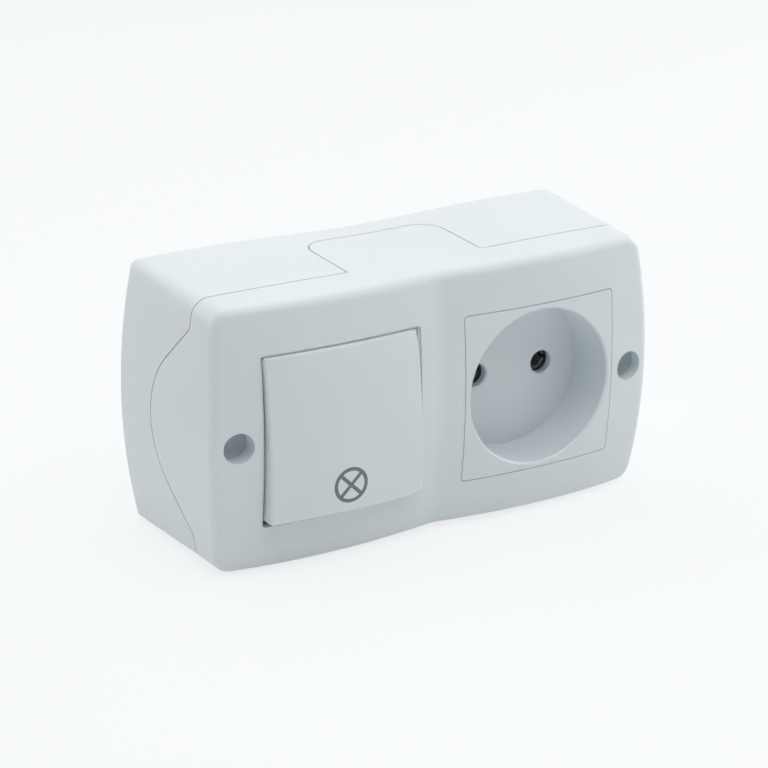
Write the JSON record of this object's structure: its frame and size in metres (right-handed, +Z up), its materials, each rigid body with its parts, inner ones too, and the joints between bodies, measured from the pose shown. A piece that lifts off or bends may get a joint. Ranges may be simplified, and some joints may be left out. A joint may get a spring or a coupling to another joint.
{
  "type": "switch and socket combination",
  "caption": "Surface-mounted white plastic housing with a one-way rocker switch in its left half and a round plug well with pin holes in its right half, made to be screwed to a wall.",
  "frame": {"origin": "middle of the pattern of wall-screw holes, on the back face that lies against the wall", "axes": "+X to the right seen from the front, +Y into the wall, +Z up"},
  "size_m": [0.125, 0.047, 0.0662],
  "materials": {
    "white_housing": "satin white moulded plastic",
    "white_rocker": "satin white moulded plastic",
    "white_insert": "satin white moulded plastic",
    "base_plastic": "matt light grey moulded plastic",
    "brass": "bright pressed brass",
    "contact_silver": "bright contact metal",
    "spring_steel": "drawn steel",
    "zinc_plated_steel": "zinc plated"
  },
  "bodies": {
    "housing": {"back_box": "white_housing", "front_cover": "white_housing", "cover_screw_left": "zinc_plated_steel", "cover_screw_right": "zinc_plated_steel", "switch_base": "base_plastic", "switch_fixing_screws": "zinc_plated_steel", "common_terminal": "brass", "outgoing_terminal": "brass", "fixed_contact": "contact_silver", "switch_terminal_screws": "zinc_plated_steel", "socket_insert": "white_insert", "socket_base": "base_plastic", "socket_fixing_screws": "zinc_plated_steel", "contact_sleeve_left": "brass", "contact_sleeve_right": "brass", "grip_ring_left": "spring_steel", "grip_ring_right": "spring_steel", "socket_terminal_screws": "zinc_plated_steel"},
    "rocker_unit": {"rocker": "white_rocker", "rocker_cradle": "base_plastic"},
    "sprung_plunger": {"plunger": "base_plastic", "plunger_spring": "spring_steel"},
    "lever_unit": {"contact_lever": "brass", "moving_contact": "contact_silver"}
  },
  "joints": [
    {"name": "rocker_tilt", "type": "hinge", "parent": "housing", "child": "rocker_unit", "pos_m": [-0.027, -0.037, 0], "axis": [1, 0, 0], "range_deg": [0, 9]},
    {"name": "plunger_slide", "type": "slide", "parent": "rocker_unit", "child": "sprung_plunger", "axis": [0, -0.9969, 0.0785], "range_m": [0, 0.0008], "stiffness_N_per_m": 500, "springref_m": -0.002},
    {"name": "lever_tip", "type": "hinge", "parent": "housing", "child": "lever_unit", "pos_m": [-0.027, -0.02298, 0], "axis": [1, 0, 0], "range_deg": [-16, 0]}
  ],
  "couplings": [
    {"joint": "lever_tip", "follows": "rocker_tilt", "ratio": -1.7777}
  ]
}
